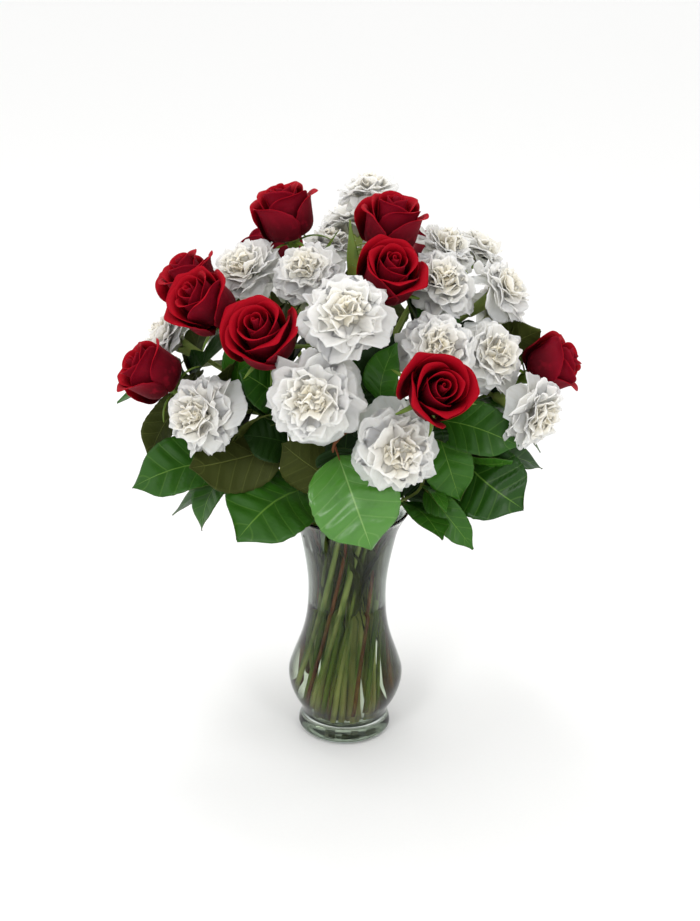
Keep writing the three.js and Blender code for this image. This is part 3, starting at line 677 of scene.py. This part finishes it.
def inside(clearance):
    """The vase's inner outline from the middle of its floor, drawn in by a clearance."""
    wall = [(radius - VASE_WALL - clearance, height)
            for radius, height in VASE_OUTSIDE if height > VASE_WALL_FROM]
    floor = [(0, VASE_FLOOR + clearance), (VASE_FLOOR_RADIUS * 0.6, VASE_FLOOR + clearance)]
    return floor + softened([(VASE_FLOOR_RADIUS - clearance, VASE_FLOOR + 1 + clearance), *wall], 4)


def make_vase():
    """The blown glass body: a thick foot with a shallow hollow under it, thin walls, a rounded lip."""
    bm = new_bmesh()
    under = [(0, 2.2), (14, 1.8), (26, 0.7), (33, 0.1), (37, 0.0)]
    outer = softened([(39.3, 0.4), *VASE_OUTSIDE[1:]], 5)
    lip = [(54.4, 222.7), (53.4, 223.0), (52.4, 222.7)]
    outline = under + outer + lip + inside(0)[::-1]
    turned(bm, [(radius * MM, height * MM) for radius, height in outline], VASE_STEPS)
    finish_piece(bm, "glass_vase", ["vase"], [GLASS])


def make_water():
    """Water up to its level, with its edge drawn up a little against the glass. Its wall lies inside
    the glass, so that light passes from one into the other with no film of air between."""
    bm = new_bmesh()
    wall = [spot for spot in inside(-WATER_OVERLAP) if spot[1] < WATER_LEVEL]
    edge = wall[-1][0]
    surface = [(edge - 0.1, WATER_LEVEL + 0.8), (edge - 1.2, WATER_LEVEL + 0.2),
               (edge - 3, WATER_LEVEL), (0, WATER_LEVEL)]
    turned(bm, [(radius * MM, height * MM) for radius, height in wall + surface], VASE_STEPS)
    finish_piece(bm, "vase_water", ["water"], [WATER])


# ---------------------------------------------------------------- flowers


def flower_matrix(flower, size, middle):
    """Places a flower drawn in millimetres round +Z, with its petals' root at the origin."""
    place, facing, width = flower[:3]
    axis = direction(*facing)
    scale = width / size
    root = Vector(place) - axis * middle * scale
    turn = Z.rotation_difference(axis).to_matrix().to_4x4()
    return Matrix.Scale(MM, 4) @ Matrix.Translation(root) @ turn @ Matrix.Scale(scale, 4)


def midline(radius, height, length, lean):
    """A petal's midline in the plane of its (radius, height). lean(v) is its angle from the flower's
    axis. Returns a function of v that gives the point and the lean there."""
    spots = [(radius, height)]
    for k in range(MIDLINE_STEPS):
        angle = lean((k + 0.5) / MIDLINE_STEPS)
        radius += math.sin(angle) * length / MIDLINE_STEPS
        height += math.cos(angle) * length / MIDLINE_STEPS
        spots.append((radius, height))

    def at(v):
        place = min(max(v, 0) * MIDLINE_STEPS, MIDLINE_STEPS - 1e-6)
        k = int(place)
        share = place - k
        (r1, z1), (r2, z2) = spots[k], spots[k + 1]
        beyond = max(0, v - 1) * length
        angle = lean(v)
        return (mix(r1, r2, share) + beyond * math.sin(angle),
                mix(z1, z2, share) + beyond * math.cos(angle), angle)

    return at


def carnation_fan(dice, turn, share):
    """One carnation petal: a claw that stands up in the cup and a broad limb that bends outwards from
    it, softly waved and finely toothed. The share is 0 for the outermost petal, whose limb droops,
    and 1 for the innermost. Those of the heart are crumpled and bend inwards over the middle."""
    claw = mix(15, 25, share ** 0.8)
    limb = mix(26, 14, share) * dice.uniform(0.84, 1.1)
    length = claw + limb
    width = mix(20.5, 10, share ** 1.2) * dice.uniform(0.85, 1.12)
    lean = mix(0.75, 0.06, share ** 0.6) + dice.uniform(-0.06, 0.06)
    fall = math.radians(mix(122, 6, share ** 1.1) + dice.uniform(-22, 22))
    root = mix(4.5, 0.5, share)
    if share > HEART:
        root, lean, fall = 5, -0.1, -math.radians(dice.uniform(25, 80))
    bend = claw / length
    at = midline(root, mix(1, 3, share), length,
                 lambda v: mix(lean, fall, smooth(bend - 0.12, bend + 0.22, v)))
    waves = dice.uniform(0.8, 1.5) * mix(1, 1.4, share)
    phases = [dice.uniform(0, 6.3) for _ in range(4)]
    height = mix(2.5, 2.7, share) * dice.uniform(0.7, 1.4)
    twist = dice.uniform(-0.4, 0.4)
    cup = dice.uniform(-1.5, 4.5)
    teeth = [dice.uniform(-1.0, 0.4) for _ in range(TEETH_DRAWN)]

    def shape(u, v):
        tooth = teeth[int((u + 1) * TEETH_A_SIDE)] * smooth(0.88, 1.0, v)
        lobe = 0.05 * math.cos(math.pi * waves * 1.5 * u + phases[2]) * smooth(0.5, 1, v)
        reach = v * (1 - 0.16 * abs(u) ** 2.4 + lobe) + tooth / length
        radius, rise, angle = at(reach)
        half = width * (0.16 + 0.84 * smooth(0.1, bend + 0.25, v))
        blade = smooth(bend - 0.2, 1, v)
        wave = height * blade * math.sin(math.pi * waves * u + phases[0])
        frill = 0.16 * height * blade ** 2 * math.sin(math.pi * waves * 3.1 * u + phases[1])
        pleat = 0.35 * blade * math.sin(9 * v + 4 * u + phases[3])
        off = wave + frill + pleat - cup * (u * u - 0.3) * blade + twist * u * half * blade
        normal = Vector((math.cos(angle), 0, -math.sin(angle)))
        spot = Vector((radius, u * half, rise)) + normal * off
        return Matrix.Rotation(turn, 3, "Z") @ spot

    return shape


def make_carnation(number, flower):
    """A carnation head: a dome of broad petal limbs, drooping outside and crumpled at the heart."""
    dice = random.Random(CARNATION_SEED + number)
    bm = new_bmesh()
    for k in range(CARNATION_PETALS):
        share = k / (CARNATION_PETALS - 1)
        turn = k * GOLDEN_ANGLE + dice.uniform(-0.3, 0.3)
        tint = min(1, max(0, share + dice.uniform(-0.15, 0.15)))
        sheet(bm, CARNATION_GRID, carnation_fan(dice, turn, share), tint)
    matrix = flower_matrix(flower, CARNATION_SIZE, CARNATION_MIDDLE)
    bmesh.ops.transform(bm, matrix=matrix, verts=bm.verts)
    finish_piece(bm, f"carnation_{number:02d}", [f"carnation_bloom_{number:02d}"],
                 [WHITE_PETAL], CARNATION_WALL * MM)


def rose_petal_shape(dice, turn, share, opened):
    """One rose petal, wrapped round the bud. The share is 0 for the innermost and 1 for the outermost.
    The outer ones swell from the hip into a deep cup, and their lips roll back to a point."""
    base = mix(1.0, 5.5, share)
    belly = mix(2.4, 23.5, share ** 0.9) * dice.uniform(0.95, 1.05)
    length = mix(44, 51, share) * dice.uniform(0.97, 1.03)
    start = math.asin(min(0.99, (belly - base) / (0.33 * length)))
    spread = mix(-0.16, mix(-0.02, 0.3, opened), share ** 0.7) + dice.uniform(-0.05, 0.05) * share
    roll = smooth(0.1, 0.8, share) * mix(1.1, 1.8, opened) * dice.uniform(0.7, 1.25)
    fold_at = mix(0.9, mix(0.84, 0.74, opened), share) + dice.uniform(-0.05, 0.03)
    half = math.radians(mix(150, 68, share ** 0.45)) * dice.uniform(0.92, 1.08)
    at = midline(base, mix(4, 0, share), length,
                 lambda v: mix(start, spread, smooth(0.12, 0.5, v)) + roll * smooth(fold_at, 1.0, v))
    spiral = dice.uniform(0.08, 0.13)
    pinch = dice.uniform(0.01, 0.07) * smooth(0.3, 0.9, share)
    droop = dice.uniform(0.5, 1.3)
    phase = dice.uniform(0, 6.3)

    def shape(u, v):
        tip = pinch * math.exp(-(u / 0.16) ** 2) * smooth(0.7, 1, v)
        reach = v * (1 - mix(0.08, 0.2, share) * abs(u) ** 2.6) + tip
        radius, rise = at(reach)[:2]
        edge = smooth(0.35, 1, abs(u)) * smooth(0.45, 1, v)
        radius *= 1 + spiral * u
        radius += roll * droop * 3.2 * edge + 0.9 * share * math.sin(3 * u + phase) * v * v
        rise -= roll * droop * 2.4 * edge
        wrap = half * (0.72 + 0.28 * smooth(0, 0.5, v)) * (1 - 0.14 * smooth(0.75, 1, v))
        angle = turn + u * wrap
        return Vector((radius * math.cos(angle), radius * math.sin(angle), rise))

    return shape


def make_rose(number, flower):
    """A half-open rose: a tight spiral bud within cups of larger petals."""
    opened = flower[3]
    dice = random.Random(ROSE_SEED + number)
    bm = new_bmesh()
    for k in range(ROSE_PETALS):
        share = k / (ROSE_PETALS - 1)
        turn = k * GOLDEN_ANGLE + dice.uniform(-0.3, 0.3)
        sheet(bm, ROSE_GRID, rose_petal_shape(dice, turn, share, opened), dice.random())
    matrix = flower_matrix(flower, ROSE_SIZE, ROSE_MIDDLE)
    bmesh.ops.transform(bm, matrix=matrix, verts=bm.verts)
    finish_piece(bm, f"rose_{number:02d}", [f"rose_bloom_{number:02d}"],
                 [RED_BACK, RED_FACE], ROSE_WALL * MM, back=1)


# ---------------------------------------------------------------- stems and leaves


def vase_line(radius, azimuth, twist):
    """The straight line of a stem in the vase, as a function of height."""
    start = outward(azimuth - NECK_TURN) * radius
    slide = outward(azimuth - NECK_TURN + 90) * radius * twist

    def line(height):
        spot = start + slide * (height - NECK)
        return Vector((spot.x, spot.y, height))

    return line


def leaf_shape(base, tip, width, turn, dice, bow=0.1):
    """A leaf from its stalk's foot to its tip, in millimetres: an egg-shaped blade with a drawn-out
    tip, folded along its midrib, waved at its edge and quilted between its side veins. A turn rolls
    it about its length, and the bow is the height of its arch as a share of its length."""
    base, tip = Vector(base), Vector(tip)
    along = tip - base
    length = along.length
    outside = Vector((tip.x, tip.y, 0)).normalized() + Z * 0.9
    axis = along.normalized()
    side = Matrix.Rotation(math.radians(-turn), 3, axis) @ axis.cross(outside).normalized()
    face = side.cross(axis)
    phases = [dice.uniform(0, 6.3) for _ in range(3)]
    ripple = dice.uniform(0.03, 0.06) * width
    sway = dice.uniform(-0.05, 0.05) * length
    nod = dice.uniform(0.02, 0.07) * length

    def shape(u, v):
        blade = min(1, max(0, (v - 0.1) / 0.9))
        outline = max(0, 1 - abs(2 * blade ** 0.85 - 1) ** 2.6) ** 0.75
        outline *= 1 - 0.55 * smooth(0.78, 1, blade)
        half = max(width / 2 * outline, 0.7) * (1 + 0.014 * math.sin(75 * v))
        arch = bow * length * math.sin(math.pi * v) - nod * blade ** 4
        fold = 0.14 * half * abs(u) ** 1.3
        wave = ripple * math.sin(8 * v + phases[0 if u > 0 else 1]) * u * u
        vein = VEIN_PAIRS * v - VEIN_SLANT * abs(u) * (VEIN_FAN - v)
        quilt = -math.cos(2 * math.pi * vein) * abs(u) * (1 - abs(u)) * 4
        middle = base + along * v + side * sway * math.sin(math.pi * v)
        off = arch + fold + wave + 0.02 * width * quilt * outline
        return (middle + face * off + side * u * half) * MM

    return shape


def carnation_calyx(finish):
    """The long green cup under a carnation, with five teeth at its rim, in the flower's own frame."""
    bm = new_bmesh()
    outline = [(0, -30), (3.4, -29.4), (4.9, -27), (5.6, -21), (6.3, -13), (7.1, -5), (7.9, 1),
               (8.3, 3), (7.6, 3), (6.9, -2), (0, -4)]
    for vert in turned(bm, outline, CUP_STEPS, finish):
        if vert.co.z > 2.5:
            tooth = abs(math.sin(2.5 * math.atan2(vert.co.y, vert.co.x)))
            vert.co.z += 4.5 * tooth - 2
            vert.co.xy *= 1 + 0.05 * tooth
    return bm


def rose_sepal(turn, droop, length, sway):
    """One narrow sepal that hooks outwards and down from the hip's rim."""
    at = midline(5.4, -2.5, length, lambda v: mix(1.25, droop, v))

    def shape(u, v):
        radius, rise, angle = at(v)
        half = 2.9 * (1 - v) ** 0.7 * (0.75 + 0.5 * v) + 0.15
        across = u * half + sway * v * v
        normal = Vector((math.cos(angle), 0, -math.sin(angle)))
        spot = Vector((radius, across, rise)) - normal * 0.7 * (1 - u * u)
        return Matrix.Rotation(turn, 3, "Z") @ spot

    return shape


def rose_hip(dice, finish):
    """The hip under a rose and its sepals, in the flower's own frame."""
    bm = new_bmesh()
    outline = [(0, -11.5), (2.6, -11), (3.6, -9.5), (5.2, -6.5), (6.2, -3.5), (6.4, -1), (5.6, 1), (0, 1.4)]
    turned(bm, outline, HIP_STEPS, finish)
    for k in range(SEPALS):
        turn = 2 * math.pi * k / SEPALS + dice.uniform(-0.2, 0.2)
        blade = rose_sepal(turn, dice.uniform(1.5, 2.9), dice.uniform(24, 34), dice.uniform(-7, 7))
        faces = sheet(bm, SEPAL_GRID, blade, 0.5, finish)
        bmesh.ops.solidify(bm, geom=faces, thickness=SEPAL_WALL)
    return bm


def stem_leaf(seat, tip, width, dice):
    """A narrow leaf on a rose's stem."""
    bm = new_bmesh()
    faces = sheet(bm, STEM_LEAF_GRID, leaf_shape(seat, tip, width, 0, dice), 0.3)
    bmesh.ops.solidify(bm, geom=faces, thickness=LEAF_WALL * MM)
    return bm


def stem_path(line, end, facing, matrix, cup):
    """A stem's points: straight in the vase, then a smooth bend to its flower, in millimetres."""
    low, high = line(NECK), line(STRAIGHT_TO)
    axis = direction(*facing)
    foot = (Matrix.Scale(1000, 4) @ matrix) @ Vector((0, 0, -cup))
    pull = PULL * (foot - high).length
    leave = (high - low).normalized()
    straight = [line(mix(end, STRAIGHT_TO, k / STRAIGHT_POINTS)) for k in range(STRAIGHT_POINTS)]
    return straight + interpolate_bezier(high, high + leave * pull, foot - axis * pull, foot, BEND_POINTS)


def make_stems(number, pair):
    """Two flower stems of the vase's twisting bundle with what grows on them."""
    ring, azimuth, flowers = pair
    middle, twists, ends = RINGS[ring]
    dice = random.Random(STEM_SEED + number)
    bm = new_bmesh()
    radii = [ROSE_STEM if name[0] == "r" else CARNATION_STEM for name in flowers]
    half = LEAN * sum(radii)
    for name, radius, side, twist, end in zip(flowers, radii, (1, -1), twists, ends):
        rose = name[0] == "r"
        flower = (ROSES if rose else CARNATIONS)[int(name[1:]) - 1]
        size, centre, cup = (
            (ROSE_SIZE, ROSE_MIDDLE, ROSE_CUP) if rose else (CARNATION_SIZE, CARNATION_MIDDLE, CARNATION_CUP))
        matrix = flower_matrix(flower, size, centre)
        path = stem_path(vase_line(middle + side * half, azimuth, twist), end, flower[1], matrix, cup)
        step = dice.uniform(0, 1)
        swell = 0 if rose else KNOT_SWELL
        widths = [radius * (1 + swell * max(0, math.cos(k * 0.9 + step)) ** 12) for k in range(len(path))]
        skin = 0 if rose else 1
        tube(bm, [spot * MM for spot in path], [width * MM for width in widths], skin, STEM_ROUNDING)
        head = rose_hip(dice, skin) if rose else carnation_calyx(skin)
        bmesh.ops.transform(head, matrix=matrix, verts=head.verts)
        merge_into(bm, head)
        if name in STEM_LEAVES:
            merge_into(bm, stem_leaf(path[STEM_LEAF_SEAT], *STEM_LEAVES[name], dice))
    finish_piece(bm, f"stems_{number:02d}", [f"flower_stems_{number:02d}"],
                 [ROSE_GREEN, CARNATION_GREEN])


def leaves_in_vase(bm, start, line, dice):
    """Small leaves on the part of a stick that stands in the vase, dark with painted shade: thin ones
    among the stems and, clear of the front, broader ones along the glass. They are turned over, so that
    they arch inwards and stay within the glass. The start is the azimuth that they are spread from."""
    for turn in THIN_LEAF_TURNS:
        low, high = line(dice.uniform(95, 178)), dice.uniform(188, 214)
        tip = outward(start + turn + dice.uniform(-5, 5)) * dice.uniform(26, 38) + Z * high
        roll = 180 + dice.uniform(-60, 60)
        blade = leaf_shape(low, tip, dice.uniform(5, 11), roll, dice)
        sheet(bm, VASE_LEAF_GRID, blade, dice.uniform(0.5, 1))
    for turn in GLASS_LEAF_TURNS:
        side = start + turn
        if abs(side) > CLEAR_FRONT:
            low = outward(side) * 30.5 + Z * dice.uniform(120, 150)
            tip = outward(side + 3) * 40 + Z * dice.uniform(202, 214)
            blade = leaf_shape(low, tip, dice.uniform(11, 14), 180, dice, GLASS_LEAF_BOW)
            sheet(bm, VASE_LEAF_GRID, blade, dice.uniform(0.5, 1))


def make_spray(number, spray):
    """A woody stick up from the water, its broad leaves, each on a short stalk, the ones deep in the
    bouquet, which are dark with painted shade, and the small ones in the vase."""
    azimuth, route, leaves = spray
    dice = random.Random(SPRAY_SEED + number)
    line = vase_line(STICK_RADIUS, azimuth, STICK_TWIST)
    low = [line(mix(STICK_END, STRAIGHT_TO, k / STRAIGHT_POINTS)) for k in range(STRAIGHT_POINTS + 1)]
    bent = [Vector(spot) for spot in (*route, route[-1])]
    path = low[:-1] + smooth_run([*low[-2:], *bent], STICK_PARTS)
    sticks, blades, shaded = new_bmesh(), new_bmesh(), new_bmesh()
    widths = [STICK * mix(1.05, 0.7, k / len(path)) for k in range(len(path))]
    tube(sticks, [spot * MM for spot in path], [width * MM for width in widths], 0, STICK_ROUNDING)
    kinds = [(blades, leaf) for leaf in leaves] + [(shaded, leaf) for leaf in INNER_LEAVES[number]]
    if number == HANGING_FROM:
        kinds.append((blades, HANGING_LEAF))
    for bm, (step, tip, width, turn) in kinds:
        seat, before = Vector(route[step]), Vector(route[step - 1])
        base = seat + (before - seat).normalized() * LEAF_SEAT
        shape = leaf_shape(base, tip, width, turn, dice)
        # painted light: the front leaf takes the palest tone, the others a random one
        tint, finish = (0.1, 2) if width == FRONT_LIT_LEAF else (dice.uniform(0.4, 1), 0)
        sheet(bm, LEAF_GRID, shape, tint, finish)
        stalk = [base * MM, shape(0, 0.06), shape(0, 0.14)]
        tube(sticks, stalk, [radius * MM for radius in STALK], 0, STALK_ROUNDING)
    # the leaves in the vase go with the inner ones, dark with painted shade
    leaves_in_vase(shaded, azimuth - NECK_TURN, line, dice)
    nodes = [f"leafy_spray_{number:02d}"]
    finish_piece(sticks, f"spray_{number:02d}_stick", nodes,
                 [WOODY_BROWN if number % 2 else WOODY_GREEN])
    finish_piece(blades, f"spray_{number:02d}_leaves", nodes,
                 [LEAF_TOP, LEAF_UNDER, LEAF_FRONT_LIT, LEAF_UNDER], LEAF_WALL * MM, back=1)
    finish_piece(shaded, f"spray_{number:02d}_inner_leaves", nodes,
                 [LEAF_SHADED, LEAF_UNDER], LEAF_WALL * MM, back=1)


# ---------------------------------------------------------------- the whole bouquet


def make_floor():
    """The board that the vase stands on, for the picture alone."""
    bm = bmesh.new()
    bmesh.ops.create_grid(bm, x_segments=1, y_segments=1, size=FLOOR_HALF)
    mesh = bpy.data.meshes.new("floor")
    bm.to_mesh(mesh)
    bm.free()
    mesh.materials.append(studio_floor())
    floor = bpy.data.objects.new("floor", mesh)
    bpy.context.scene.collection.objects.link(floor)


make_vase()
make_water()
for index, pair in enumerate(PAIRS, 1):
    make_stems(index, pair)
for index, spray in enumerate(SPRAYS, 1):
    make_spray(index, spray)
for index, flower in enumerate(ROSES, 1):
    make_rose(index, flower)
for index, flower in enumerate(CARNATIONS, 1):
    make_carnation(index, flower)
make_floor()
